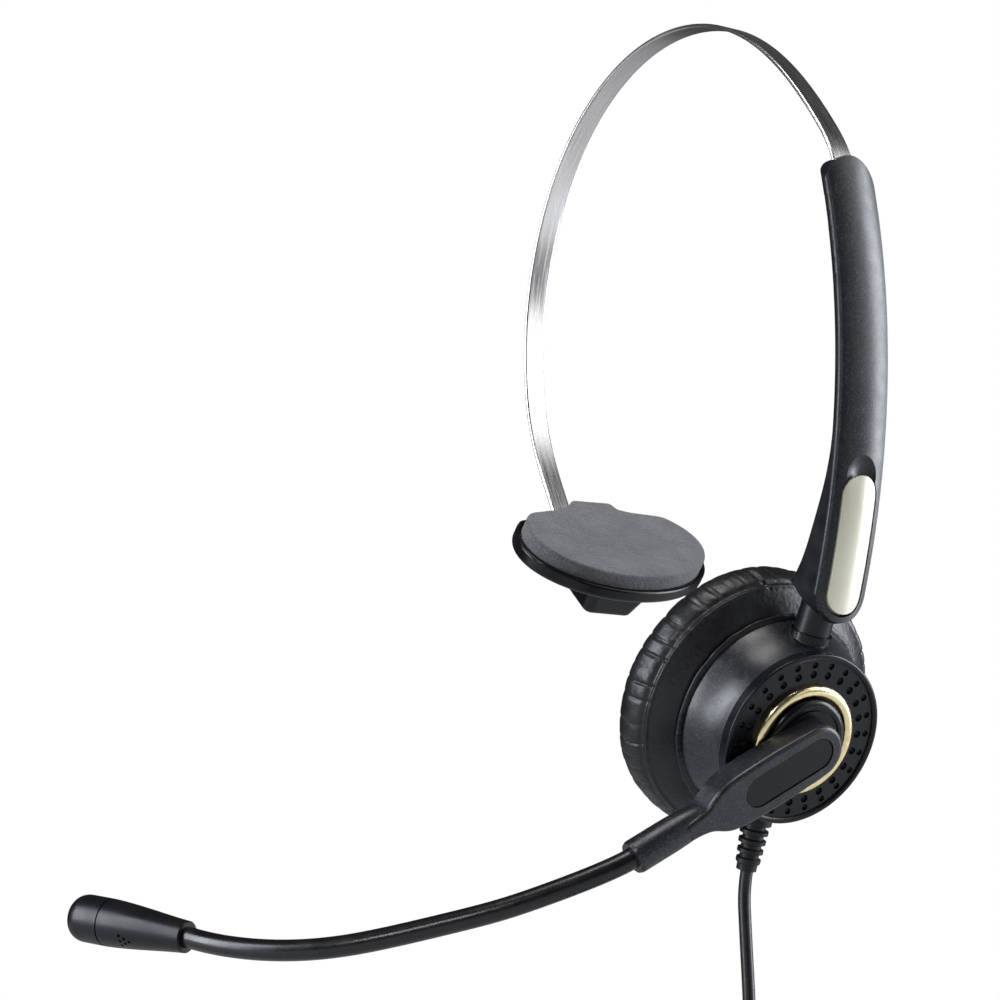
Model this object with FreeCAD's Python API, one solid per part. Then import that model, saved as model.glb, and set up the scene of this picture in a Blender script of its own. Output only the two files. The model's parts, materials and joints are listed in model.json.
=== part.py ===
import FreeCAD, Part
import math
import os

# Office headset, worn over the head: one ear cup with a microphone boom, one temple pad.
# Millimetres. +Z is up, +X is the side of the ear cup, -Y is the wearer's front.
# The origin is the underside of the headband at the crown.
V = FreeCAD.Vector
Y_AXIS = V(0, 1, 0)
Z_AXIS = V(0, 0, 1)

# Headband
STRIP_WIDTH = 5.5
STRIP_THICK = 0.9

# Slider arm: it runs on an arc about SLIDE_CENTRE, and so does the end of the strip inside it
SLIDE_CENTRE = V(-103, 0, -86.2)
STRIP_R = 163.9
ARM_INNER_R = 162.2
ARM_SEAM_R = 165.2
ARM_CROWN_R = 167.0
ARM_EDGE_R = 165.8
ARM_HALF = 6.1
ARM_TOP_DEG = 16.2
ARM_TOP_Z = -42.2
ARM_END_Z = -140.9
CHANNEL_END_DEG = -5.2
STRIP_END_DEG = -3.6

# Ear cup: its own frame has +X up the cup, +Y to the wearer's front, +Z outwards
CUP_TILT = 25.6
CUP_CENTRE = V(43.2, 0, -164.6)
CUP_UP = V(math.sin(math.radians(CUP_TILT)), 0, math.cos(math.radians(CUP_TILT)))
CUP_OUT = V(math.cos(math.radians(CUP_TILT)), 0, -math.sin(math.radians(CUP_TILT)))
DISC_R = 19.2
GOLD_R = 12.3
GOLD_INNER_R = 10.1
PIVOT_R = 9.5
SHELL_BACK = -12.0
CUSHION_BACK = -13.2
CUSHION_R = 30.1
CUSHION_BORE = 14.2
NECK_OUT = -7.4
NECK_R = 3.9
STEM_R = 2.5
RUNNING_GAP = 0.05

# Boom: its own frame has +X along the boom and +Z outwards
BOOM_DEG = 122.9
AXLE_R = 2.5
TUBE_R = 2.2
SOCKET_START = V(26.0, 0, 4.8)
SOCKET_RUN = V(0.9986, 0, 0.0526)
MIC_START = V(126.8, 0, -43.4)
MIC_DIR = V(0.51, 0, -0.86)
MIC_BODY_LONG = 20.6
MIC_LONG = 29.8
MIC_R = 5.05

# Temple pad: its own frame has +X along the wearer's back, +Y up the pad, +Z out of its face
PAD_TILT = 49.2
PAD_CENTRE = V(-24.8, 0, -115.1)
PAD_FACE = V(math.cos(math.radians(PAD_TILT)), 0, math.sin(math.radians(PAD_TILT)))
PAD_LONG = 25.3
PAD_HIGH = 15.8
PAD_TURN = 8
PAD_TOP = [(10, 12.2), (6.6, 13.0), (5.6, 15.3), (-5.4, 14.7), (-7.6, 12.4), (-12.5, 9.6), (-20.6, 7.0)]
FOAM_THICK = 4.3
PLATE_THICK = 2.5
PIN_R = 1.25
PIN_UP = 3.0
PIN_DEEP = -14.8

# Cable
CABLE_D = 2.75
RELIEF_TOP = V(28.5, 0, -178.6)
RELIEF_DIR = V(-0.309, 0, -0.951)
RELIEF_LONG = 13.4
RING_CENTRE = V(30.6, 0, -259.6)
RING_R = 15.1
RING_TURNS = 9
BUNDLE_R = 5.25
LEAD_ROUTE = [
    V(26.2, 0, -185.7),
    V(23.45, 0, -194.1),
    V(24.3, 0, -204.2),
    V(25.7, 0, -217.7),
    V(26.4, 0, -228.7),
    V(21.5, 0, -237.7),
    V(15.1, 0, -244.1),
]
TAIL_ROUTE = [V(8.7, 0, -259.6), V(8.7, 0, -267.7)]
PLUG_TOP = V(8.7, 0, -267.7)
PLUG_SHAFT_R = 1.75


def curve(points):
    """A straight edge through two points, or a smooth one through more."""
    if len(points) == 2:
        return Part.makeLine(points[0], points[1])
    spline = Part.BSplineCurve()
    spline.interpolate(points)
    return spline.toShape()


def outline(stretches):
    """A closed face whose border is made of the given stretches, end to end."""
    return Part.Face(Part.Wire([curve(points) for points in stretches]))


def turned(*stretches):
    """A solid of revolution about Z; each stretch is a list of (radius, height)."""
    edges = [[V(r, 0, z) for r, z in points] for points in stretches]
    return outline(edges).revolve(V(0, 0, 0), Z_AXIS, 360)


def turned_polygon(points):
    """A solid of revolution about Z from a closed polygon of (radius, height)."""
    corners = [V(r, 0, z) for r, z in points]
    face = Part.Face(Part.makePolygon(corners + corners[:1]))
    return face.revolve(V(0, 0, 0), Z_AXIS, 360)


def tube(outer, inner, low, high):
    """A round ring or sleeve about Z."""
    return turned_polygon([(inner, low), (outer, low), (outer, high), (inner, high)])


def disc(radius, low, high, x=0, y=0):
    """A cylinder along Z."""
    return Part.makeCylinder(radius, high - low, V(x, y, low))


def slab(x0, x1, y0, y1, z0, z1):
    """A block between two corners."""
    return Part.makeBox(x1 - x0, y1 - y0, z1 - z0, V(x0, y0, z0))


def pill(x0, x1, radius, low, high):
    """A round-ended block along X, whose end circles are centred on x0 and x1."""
    body = slab(x0, x1, -radius, radius, low, high)
    return body.fuse([disc(radius, low, high, x0), disc(radius, low, high, x1)]).removeSplitter()


def along(shape, start, direction):
    """Moves a shape made about +Z so that it stands on start and points in direction."""
    moved = shape.copy()
    moved.Placement = FreeCAD.Placement(start, FreeCAD.Rotation(Z_AXIS, direction))
    return moved


def placed(shape, origin, x_dir, z_dir):
    """Moves a shape from a local frame to the part's frame."""
    y_dir = z_dir.cross(x_dir)
    matrix = FreeCAD.Matrix(x_dir.x, y_dir.x, z_dir.x, origin.x,
                            x_dir.y, y_dir.y, z_dir.y, origin.y,
                            x_dir.z, y_dir.z, z_dir.z, origin.z,
                            0, 0, 0, 1)
    moved = shape.copy()
    moved.Placement = FreeCAD.Placement(matrix).multiply(moved.Placement)
    return moved


def in_cup(shape):
    return placed(shape, CUP_CENTRE, CUP_UP, CUP_OUT)


def in_boom(shape):
    turned_shape = shape.copy()
    turned_shape.rotate(V(0, 0, 0), Z_AXIS, BOOM_DEG)
    return in_cup(turned_shape)


def in_pad(shape):
    return placed(shape, PAD_CENTRE, Y_AXIS, PAD_FACE)


def arc_point(radius, degrees, y=0):
    """A point on an arc about the slide centre, at an angle above the level."""
    angle = math.radians(degrees)
    return SLIDE_CENTRE + V(radius * math.cos(angle), y, radius * math.sin(angle))


def arc_solid(section, top_deg, bottom_deg):
    """A bar bent about the slide centre; section is a list of (radius, y)."""
    corners = [SLIDE_CENTRE + V(r, y, 0) for r, y in section]
    face = Part.Face(Part.makePolygon(corners + corners[:1]))
    face.rotate(SLIDE_CENTRE, Y_AXIS, -top_deg)
    return face.revolve(SLIDE_CENTRE, Y_AXIS, top_deg - bottom_deg)


def crowned_arc(inner_r, edge_r, crown_r, half, top_deg, bottom_deg):
    """A bar bent about the slide centre, with a rounded outer face."""
    low = [V(inner_r, half, 0), V(inner_r, -half, 0)]
    right = [V(inner_r, -half, 0), V(edge_r, -half, 0)]
    left = [V(edge_r, half, 0), V(inner_r, half, 0)]
    crown = Part.Arc(V(edge_r, -half, 0), V(crown_r, 0, 0), V(edge_r, half, 0)).toShape()
    face = Part.Face(Part.Wire([curve(low), curve(right), crown, curve(left)]))
    face.translate(SLIDE_CENTRE)
    face.rotate(SLIDE_CENTRE, Y_AXIS, -top_deg)
    return face.revolve(SLIDE_CENTRE, Y_AXIS, top_deg - bottom_deg)


def upright_pill(z0, z1, radius, x0, x1):
    """A round-ended block standing in the YZ plane, from x0 to x1."""
    return placed(pill(z0, z1, radius, x0, x1), V(0, 0, 0), Z_AXIS, V(1, 0, 0))


# ---------------------------------------------------------------- headband

def headband_strip():
    through = [V(-41.4, 0, -121.4), V(-49.6, 0, -104.5), V(-57.7, 0, -88.5), V(-61.9, 0, -66.0),
               V(-58.7, 0, -42.2), V(-46.4, 0, -18.6), V(-23.6, 0, -2.5), V(-1.0, 0, 0.45),
               V(17.0, 0, -4.2), V(35.9, 0, -17.4), V(48.4, 0, -31.6)]
    through += [arc_point(STRIP_R, degrees) for degrees in (15.8, 11, 6, 1, STRIP_END_DEG)]
    path = curve(through)
    run = path.tangentAt(path.FirstParameter)
    section = pill(-STRIP_WIDTH / 2 + 0.44, STRIP_WIDTH / 2 - 0.44, 0.44, 0, 1)
    base = [face for face in section.Faces if abs(face.CenterOfMass.z) < 0.01][0]
    edge = placed(Part.Wire(base.OuterWire.Edges), through[0], Y_AXIS, run)
    return Part.Wire(path).makePipeShell([edge], True, False)


def strip_stop(strip):
    block = arc_solid([(163.3, -2.7), (164.85, -2.7), (164.85, 2.7), (163.3, 2.7)],
                      STRIP_END_DEG + 1.2, STRIP_END_DEG - 0.8)
    return block.cut(strip)


def temple_clip(strip):
    pin = PAD_CENTRE + in_pad_dir(0, PIN_UP, PIN_DEEP)
    run = V(-0.458, 0, 0.889)
    side = V(0.889, 0, 0.458)
    end = V(-41.4, 0, -121.4) + run * 5
    corners = [end - side * 1.6, pin - side * 2.4, pin + side * 2.4, end + side * 1.6]
    arm = Part.Face(Part.makePolygon(corners + corners[:1])).extrude(V(0, 5.6, 0))
    arm.translate(V(0, -2.8, 0))
    eye = Part.makeCylinder(3.0, 5.6, pin - V(0, 2.8, 0), Y_AXIS)
    bore = Part.makeCylinder(PIN_R + RUNNING_GAP, 8, pin - V(0, 4, 0), Y_AXIS)
    return arm.fuse(eye).cut(bore).cut(strip)


def in_pad_dir(x, y, z):
    """A vector of the temple pad's frame in the part's frame."""
    pad_up = PAD_FACE.cross(Y_AXIS)
    return Y_AXIS * x + pad_up * y + PAD_FACE * z


# ---------------------------------------------------------------- temple pad

def pad_block(grow, low, high):
    """The pad's outline, a turned oval with sloping shoulders and a short tab on top, as a block."""
    oval = Part.Face(Part.Wire(Part.Ellipse(V(0, 0, 0), PAD_LONG + grow, PAD_HIGH + grow).toShape()))
    oval.rotate(V(0, 0, 0), Z_AXIS, PAD_TURN)
    top = [(x + math.copysign(grow, x), y + grow) for x, y in [(40, 11.0)] + PAD_TOP + [(-40, 1)]]
    corners = [V(x, y, 0) for x, y in [(-45, -40), (45, -40)] + top]
    face = Part.Face(Part.makePolygon(corners + corners[:1]))
    body = oval.extrude(V(0, 0, high - low)).common(face.extrude(V(0, 0, high - low)))
    body.translate(V(0, 0, low))
    upright = [e for e in body.Edges if len(e.Vertexes) == 2 and e.Length > high - low - 0.01
               and e.BoundBox.XLength < 1e-3 and e.BoundBox.YLength < 1e-3
               and e.BoundBox.YMin > 12.1 + grow and e.BoundBox.XMax < 10 + grow]
    body = body.makeFillet(0.7, upright)
    corner = [e for e in body.Edges if len(e.Vertexes) == 2 and e.BoundBox.XMax < -18
              and e.BoundBox.XLength < 1e-3 and e.BoundBox.YLength < 1e-3]
    return body.makeFillet(1.2 + 1.6 * grow, corner)


def temple_foam():
    return in_pad(pad_block(0, -FOAM_THICK, 0))


def temple_plate():
    base = -FOAM_THICK - PLATE_THICK
    plate = pad_block(1.4, base, -FOAM_THICK + 0.9)
    rim = [e for e in plate.Edges if abs(e.BoundBox.ZMin - base) < 0.01
           and abs(e.BoundBox.ZMax - base) < 0.01]
    plate = plate.makeFillet(1.3, rim)
    lip = [e for e in plate.Edges if e.BoundBox.ZMin > -FOAM_THICK + 0.89]
    plate = plate.makeFillet(0.5, lip)
    plate = plate.cut(pad_block(0.2, -FOAM_THICK, 2))
    top = slab_wire(-8.0, 10.0, -10.5, 8.5, base + 0.5)
    bottom = slab_wire(-5.6, 7.4, -8, 6.4, -16.8)
    boss = Part.makeLoft([top, bottom], True)
    upright = [e for e in boss.Edges if e.BoundBox.ZMax - e.BoundBox.ZMin > 5]
    boss = boss.makeFillet(2.4, upright)
    under = [e for e in boss.Edges if e.BoundBox.ZMax < -16.7]
    boss = boss.makeFillet(1.6, under)
    plate = plate.fuse(boss)
    plate = plate.cut(slab(-3.1, 3.1, PIN_UP - 4.0, 20, -20, PIN_DEEP + 5.2))
    plate = plate.cut(along(disc(PIN_R, -20, 20), V(0, PIN_UP, PIN_DEEP), V(1, 0, 0)))
    return in_pad(plate)


def slab_wire(x0, x1, y0, y1, z):
    corners = [V(x0, y0, z), V(x1, y0, z), V(x1, y1, z), V(x0, y1, z)]
    return Part.makePolygon(corners + corners[:1])


def temple_pin():
    return in_pad(along(disc(PIN_R, -5.6, 5.6), V(0, PIN_UP, PIN_DEEP), V(1, 0, 0)))


# ---------------------------------------------------------------- slider arm

def pill_span():
    return -135.0, -115.2


def arm_outer_shell():
    shell = crowned_arc(ARM_SEAM_R, ARM_EDGE_R, ARM_CROWN_R, ARM_HALF, 18, -24)
    shell = shell.common(upright_pill(ARM_END_Z + ARM_HALF, ARM_TOP_Z - ARM_HALF, ARM_HALF, 30, 80))
    low, high = pill_span()
    pocket = upright_pill(low, high, 4.75, 30, 80)
    floor = arc_solid([(165.7, -8), (170, -8), (170, 8), (165.7, 8)], 10, -30)
    scoop = Part.makeSphere(7.5, arc_point(ARM_CROWN_R + 6.0, -8.6))
    return shell.cut(pocket.common(floor)).cut(scoop)


def arm_insert():
    low, high = pill_span()
    body = crowned_arc(165.7, 166.5, 167.35, 4.2, 10, -30)
    return body.common(upright_pill(low, high, 4.2, 30, 80))


def arm_inner_shell():
    back = [arc_point(ARM_INNER_R, -5), V(55.9, 0, -112), V(52.4, 0, -120.2),
            V(48.7, 0, -127.4), V(45.5, 0, -131.3)]
    foot = [V(45.5, 0, -131.3), V(53.0, 0, -139.6)]
    front_low = V(53.0, 0, -139.6)
    seam_top = arc_point(ARM_SEAM_R, ARM_TOP_DEG)
    seam = Part.Arc(arc_point(ARM_SEAM_R, -18.7), arc_point(ARM_SEAM_R, 0), seam_top).toShape()
    inner = Part.Arc(arc_point(ARM_INNER_R, ARM_TOP_DEG), arc_point(ARM_INNER_R, 5),
                     arc_point(ARM_INNER_R, -5)).toShape()
    edges = [inner, curve(back), curve(foot), curve([front_low, arc_point(ARM_SEAM_R, -18.7)]),
             seam, curve([seam_top, arc_point(ARM_INNER_R, ARM_TOP_DEG)])]
    body = Part.Face(Part.Wire(edges)).extrude(V(0, 11.6, 0))
    body.translate(V(0, -5.8, 0))
    long_edges = [e for e in body.Edges if e.BoundBox.YLength < 0.01 and e.Length > 20
                  and e.BoundBox.XMin < 58 and SLIDE_CENTRE.distanceToPoint(
                      V(e.CenterOfMass.x, 0, e.CenterOfMass.z)) < 164]
    body = body.makeFillet(1.3, long_edges)
    body = body.common(upright_pill(-134.6, ARM_TOP_Z - 5.8, 5.8, 30, 80))
    channel = arc_solid([(163.2, -3.1), (ARM_SEAM_R + 1, -3.1), (ARM_SEAM_R + 1, 3.1), (163.2, 3.1)],
                        20, CHANNEL_END_DEG)
    body = body.cut(channel)
    for hole in screw_holes():
        body = body.cut(hole)
    return body.cut(in_cup(along(disc(STEM_R, 22, 31), V(0, 0, NECK_OUT), V(1, 0, 0))))


SCREWS = [(-9.2, 162.1), (-14.6, 159.6)]


def screw_holes():
    holes = []
    for degrees, seat in SCREWS:
        out = (arc_point(1, degrees) - SLIDE_CENTRE)
        holes.append(along(disc(1.7, -8, 0), arc_point(seat, degrees), out))
        holes.append(along(disc(0.8, -1, 2.6), arc_point(seat, degrees), out))
    return holes


def arm_screws():
    screws = []
    for degrees, seat in SCREWS:
        out = (arc_point(1, degrees) - SLIDE_CENTRE)
        head = tube(1.6, 0.55, -0.9, -0.5).fuse(disc(1.6, -0.5, 0)).fuse(disc(0.8, 0, 2.6))
        screws.append(along(head, arc_point(seat, degrees), out))
    return Part.makeCompound(screws)


def size_spring():
    return arc_solid([(164.7, -1.5), (165.15, -1.5), (165.15, 1.5), (164.7, 1.5)], 13.5, 9)


def neck(inner_shell):
    body = along(disc(NECK_R, 20.4, 33), V(0, 0, NECK_OUT), V(1, 0, 0))
    stem = along(disc(STEM_R, 14.3, 31), V(0, 0, NECK_OUT), V(1, 0, 0))
    groove = along(tube(3.0, 2.0, 14.8, 15.5), V(0, 0, NECK_OUT), V(1, 0, 0))
    body = in_cup(body.fuse(stem).cut(groove))
    above = Part.Face(Part.makePolygon([V(30, 0, -114.1), V(45.5, 0, -131.3), V(53.0, 0, -139.6),
                                        V(70, 0, -140), V(70, 0, -100), V(30, 0, -114.1)]))
    above = above.extrude(V(0, 30, 0))
    above.translate(V(0, -15, 0))
    stem_only = in_cup(along(disc(STEM_R, 20, 31), V(0, 0, NECK_OUT), V(1, 0, 0)))
    return body.cut(above).fuse(stem_only.common(above)).cut(inner_shell)


def neck_clip():
    return in_cup(along(tube(2.9, 2.0, 14.85, 15.45), V(0, 0, NECK_OUT), V(1, 0, 0)))


# ---------------------------------------------------------------- ear cup

def cup_shell():
    shell = turned([(6, -2.4), (19.25, -2.4)],
                   [(19.25, -2.4), (19.5, -4.2), (20.4, -7.6), (21.6, -10.6), (22.1, SHELL_BACK)],
                   [(22.1, SHELL_BACK), (20.4, SHELL_BACK)],
                   [(20.4, SHELL_BACK), (19.9, -10.4), (18.0, -4.2)],
                   [(18.0, -4.2), (6, -4.2)],
                   [(6, -4.2), (6, -2.4)])
    boss = along(disc(3.9, 15.8, 20.4), V(0, 0, NECK_OUT), V(1, 0, 0))
    shell = shell.fuse(boss)
    for x, y in screw_spots():
        shell = shell.fuse(disc(1.9, SHELL_BACK, -3.6, x, y))
    outside = tube(40, 30, -30, 10)
    shell = shell.cut(outside)
    for x, y in screw_spots():
        shell = shell.cut(disc(0.85, -13, -7, x, y))
    shell = shell.cut(along(disc(STEM_R + RUNNING_GAP, 10, 30), V(0, 0, NECK_OUT), V(1, 0, 0)))
    shell = shell.cut(along(disc(4.5, 19.9, 30), V(0, 0, NECK_OUT), V(1, 0, 0)))
    return in_cup(shell).cut(relief_body(0, 0))


def screw_spots():
    return [(16.3 * math.cos(math.radians(a)), 16.3 * math.sin(math.radians(a)))
            for a in (50, 130, 230, 310)]


def cup_screws():
    screws = []
    for x, y in screw_spots():
        screws.append(disc(1.6, -13.1, -12.5, x, y).fuse(disc(0.85, -12.5, -7.2, x, y)))
    return in_cup(Part.makeCompound(screws))


def disc_cover():
    cover = turned([(AXLE_R + RUNNING_GAP, -2.4), (DISC_R, -2.4)],
                   [(DISC_R, -2.4), (DISC_R, -0.6)],
                   [(DISC_R, -0.6), (19.0, -0.1), (18.6, 0.0), (18.1, -0.15), (17.9, -0.6)],
                   [(17.9, -0.6), (AXLE_R + RUNNING_GAP, -0.6)],
                   [(AXLE_R + RUNNING_GAP, -0.6), (AXLE_R + RUNNING_GAP, -2.4)])
    dimples = []
    for ring_r, hole_r in ((16.6, 0.72), (14.5, 0.85)):
        for step in range(24):
            angle = math.radians(7.5 + 15 * step)
            spot = V(ring_r * math.cos(angle), ring_r * math.sin(angle), -0.68)
            dimples.append(Part.makeSphere(hole_r, spot))
    return in_cup(cover.cut(dimples))


def gold_ring():
    ring = turned([(GOLD_INNER_R, -0.6), (GOLD_R, -0.6)],
                  [(GOLD_R, -0.6), (GOLD_R, 0.2)],
                  [(GOLD_R, 0.2), (12.0, 0.75), (11.3, 1.1), (10.6, 1.05), (GOLD_INNER_R, 0.7)],
                  [(GOLD_INNER_R, 0.7), (GOLD_INNER_R, -0.6)])
    return in_cup(ring)


def neck_ring():
    return in_cup(along(tube(4.5, 4.2, 19.9, 21.5), V(0, 0, NECK_OUT), V(1, 0, 0)))


def baffle_plate():
    plate = disc(20.3, CUSHION_BACK, -11.9)
    holes = [disc(0.9, -14, -11, 0, 0)]
    for count, ring_r in ((6, 3.4), (12, 6.8), (16, 10.2)):
        for step in range(count):
            angle = 2 * math.pi * step / count
            holes.append(disc(0.9, -14, -11, ring_r * math.cos(angle), ring_r * math.sin(angle)))
    for x, y in screw_spots():
        holes.append(disc(0.85, -14, -11, x, y))
        holes.append(disc(1.7, -14, -12.5, x, y))
    plate = plate.cut(holes)
    for x, y in screw_spots():
        plate = plate.cut(disc(1.9, SHELL_BACK, -11, x, y))
    return in_cup(plate)


def driver_frame():
    return in_cup(tube(13.4, 9.2, -11.9, -10.2).fuse(tube(9.2, 6.8, -10.8, -10.2)))


def driver_cone():
    cone = turned([(0.01, -11.6), (4.0, -11.45), (9.1, -10.95)], [(9.1, -10.95), (9.1, -10.8)],
                  [(9.1, -10.8), (4.0, -11.25), (0.01, -11.4)], [(0.01, -11.4), (0.01, -11.6)])
    return in_cup(cone)


def driver_magnet():
    return in_cup(disc(6.7, -10.7, -7.4))


def terminal_board():
    return in_cup(slab(-15.5, -9.0, -5, 5, -9.2, -8.2))


def cushion_lip():
    lip = turned([(20.5, SHELL_BACK), (22.7, SHELL_BACK)],
                 [(22.7, SHELL_BACK), (23.3, -12.3), (23.4, -12.7), (22.9, CUSHION_BACK)],
                 [(22.9, CUSHION_BACK), (20.5, CUSHION_BACK)],
                 [(20.5, CUSHION_BACK), (20.5, SHELL_BACK)])
    return in_cup(lip)


def ear_cushion():
    cushion = turned([(CUSHION_BORE, CUSHION_BACK), (21.6, CUSHION_BACK)],
                     [(21.6, CUSHION_BACK), (24.4, -14.2), (27.9, -17.2), (29.7, -20.6),
                      (CUSHION_R, -23.4), (29.2, -26.4), (26.3, -28.2), (22.0, -28.7),
                      (17.6, -27.9), (15.0, -25.4), (CUSHION_BORE, -22.0)],
                     [(CUSHION_BORE, -22.0), (CUSHION_BORE, CUSHION_BACK)])
    return in_cup(cushion)


def ear_scrim():
    return in_cup(disc(14.0, -13.9, CUSHION_BACK))


def relief_body(extra, bore):
    """The ribbed sleeve that guards the cable where it leaves the cup."""
    profile = [(bore, 0), (3.4 + extra, 0), (3.4 + extra, 3.2)]
    low = 3.2
    for rib in range(4):
        waist = 2.35 - 0.08 * rib
        crest = 3.1 - 0.14 * rib
        profile += [(waist + extra, low + 0.3), (waist + extra, low + 1.0),
                    (crest + extra, low + 1.3), (crest + extra, low + 2.1)]
        low += 2.1
    profile += [(2.2 + extra, low + 0.6), (2.2 + extra, RELIEF_LONG), (bore, RELIEF_LONG)]
    return along(turned_polygon(profile), RELIEF_TOP, RELIEF_DIR)


def strain_relief():
    sleeve = relief_body(0, 0)
    bore = along(disc(CABLE_D / 2 + 0.05, RELIEF_LONG - 6.2, 20), RELIEF_TOP, RELIEF_DIR)
    return sleeve.cut(bore)


# ---------------------------------------------------------------- cable and plug

def rounded_route(points):
    """Straight runs joined by tangent arcs; prints each bend's radius."""
    edges = []
    start = points[0]
    for before, corner, after in zip(points, points[1:], points[2:]):
        back = before - corner
        ahead = after - corner
        reach = 0.45 * min(back.Length, ahead.Length)
        half_turn = (math.pi - back.getAngle(ahead)) / 2
        radius = reach / math.tan(half_turn)
        back.normalize()
        ahead.normalize()
        middle = (back + ahead).normalize() * (radius / math.cos(half_turn) - radius)
        arc_start = corner + back * reach
        arc_end = corner + ahead * reach
        edges.append(Part.makeLine(start, arc_start))
        edges.append(Part.Arc(arc_start, corner + middle, arc_end).toShape())
        start = arc_end
        print("cable bend radius %.1f mm" % radius)
    edges.append(Part.makeLine(start, points[-1]))
    return Part.Wire(edges)


def cord_tube(points, diameter):
    """A round cord along a rounded route; prints its volume beside section times length."""
    path = rounded_route(points)
    circle = Part.Wire(Part.Circle(points[0], points[1] - points[0], diameter / 2).toShape())
    body = path.makePipeShell([circle], True, True)
    expected = math.pi * diameter ** 2 / 4 * path.Length
    print("cord volume %.1f, section times length %.1f, length %.1f"
          % (body.Volume, expected, path.Length))
    return body


def cable():
    lead = cord_tube(LEAD_ROUTE, CABLE_D)
    tail = cord_tube(TAIL_ROUTE, CABLE_D)
    return Part.makeCompound([lead, tail])


def cable_coil():
    coil = Part.makeTorus(RING_R, BUNDLE_R, RING_CENTRE, Y_AXIS)
    print("coiled length %.0f mm" % (RING_TURNS * 2 * math.pi * RING_R))
    return coil


def cable_tie():
    angle = math.radians(62)
    spot = RING_CENTRE + V(RING_R * math.cos(angle), 0, RING_R * math.sin(angle))
    band = along(tube(6.1, 3.0, -2.0, 2.0), spot, V(-math.sin(angle), 0, math.cos(angle)))
    return band.cut(cable_coil())


def plug_boot():
    boot = turned([(0.01, 0), (2.3, 0)], [(2.3, 0), (2.45, 3), (2.8, 6), (3.3, 8)],
                  [(3.3, 8), (0.01, 8)], [(0.01, 8), (0.01, 0)])
    return along(boot, PLUG_TOP, V(0, 0, -1))


def plug_body():
    body = turned([(0.01, 8), (3.6, 8)], [(3.6, 8), (4.1, 9.2), (4.2, 12), (4.2, 22), (4.0, 25), (3.5, 26)],
                  [(3.5, 26), (0.01, 26)], [(0.01, 26), (0.01, 8)])
    return along(body, PLUG_TOP, V(0, 0, -1))


RING_STARTS = (30.2, 33.4, 36.6)


def plug_shaft():
    shaft = turned_polygon([(0.01, 26), (2.4, 26), (2.4, 26.8), (PLUG_SHAFT_R, 26.8),
                            (PLUG_SHAFT_R, 37.4), (1.15, 38.1), (1.65, 38.9), (0.5, 40.8), (0.01, 40.8)])
    for low in RING_STARTS:
        shaft = shaft.cut(tube(2.2, 1.4, low, low + 0.7))
    return along(shaft, PLUG_TOP, V(0, 0, -1))


def plug_rings():
    rings = [tube(PLUG_SHAFT_R, 1.4, low, low + 0.7) for low in RING_STARTS]
    return along(Part.makeCompound(rings), PLUG_TOP, V(0, 0, -1))


# ---------------------------------------------------------------- boom

def pivot_disc():
    body = turned([(AXLE_R, -0.25), (PIVOT_R, -0.25)], [(PIVOT_R, -0.25), (PIVOT_R, 1.0)],
                  [(PIVOT_R, 1.0), (9.1, 1.6), (8.4, 1.9)], [(8.4, 1.9), (AXLE_R, 1.9)],
                  [(AXLE_R, 1.9), (AXLE_R, -0.25)])
    return in_boom(body.cut(tube(7.7, 7.3, 1.5, 3)))


def boom_side(top_drop, bottom_lift):
    """The boom arm seen from its side, as a block 20 mm wide."""
    top = [V(34, -10, 8.7 - top_drop), V(26, -10, 8.3 - top_drop), V(12, -10, 7.55 - top_drop),
           V(-7, -10, 6.5 - top_drop)]
    low = 1.9 + bottom_lift
    bottom = [V(12, -10, low), V(20, -10, low + 0.2), V(28, -10, low + 0.8), V(34, -10, low + 1.4)]
    face = outline([top, [top[-1], V(-7, -10, low)], [V(-7, -10, low), bottom[0]], bottom,
                    [bottom[-1], top[0]]])
    return face.extrude(V(0, 20, 0))


def boom_plan():
    """The boom arm seen from above, as a block."""
    upper = [V(0, 5.9, 0), V(6, 6.2, 0), V(12, 6.3, 0), V(18, 6.15, 0), V(22.5, 5.8, 0), V(25, 5.15, 0),
             V(26.9, 4.1, 0), V(28.7, 3.0, 0), V(31, 2.35, 0), V(34, 2.1, 0)]
    lower = [V(p.x, -p.y, 0) for p in reversed(upper)]
    end = Part.Arc(V(0, -5.9, 0), V(-5.6, 0, 0), V(0, 5.9, 0)).toShape()
    edges = [curve(upper), curve([upper[-1], lower[0]]), curve(lower), end]
    return Part.Face(Part.Wire(edges)).extrude(V(0, 0, 16))


def boom_arm():
    body = boom_plan().common(boom_side(0, 0))
    rims = [e for e in body.Edges if e.BoundBox.ZMin > 5.5 and e.BoundBox.XLength > 4
            and e.BoundBox.YLength > 0.3]
    body = body.makeFillet(1.0, rims)
    socket = turned([(0.01, 0), (1.0, 0)], [(1.0, 0), (2.3, 2.2), (3.1, 5), (3.5, 8.5), (3.6, 12)],
                    [(3.6, 12), (3.6, 20.2)], [(3.6, 20.2), (3.3, 20.9)], [(3.3, 20.9), (0.01, 20.9)],
                    [(0.01, 20.9), (0.01, 0)])
    socket = along(socket, SOCKET_START, SOCKET_RUN)
    body = body.fuse(socket).cut(tube_line())
    recess = pill(0.6, 16.2, 3.6, 0, 16).cut(boom_side(0.7, -5))
    return in_boom(body.cut(recess))


def boom_inlay():
    body = pill(0.6, 16.2, 3.35, 0, 16).common(boom_side(0.25, -5)).cut(boom_side(0.7, -5))
    return in_boom(body)


def boom_axle():
    axle = disc(AXLE_R, -6.6, 1.9)
    return in_boom(axle.cut(tube(3.0, 2.0, -4.6, -3.9)))


def axle_clip():
    return in_boom(tube(4.0, 2.0, -4.55, -3.95))


def wave_washer():
    return in_boom(tube(3.9, AXLE_R + 0.15, -3.95, -3.0))


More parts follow.
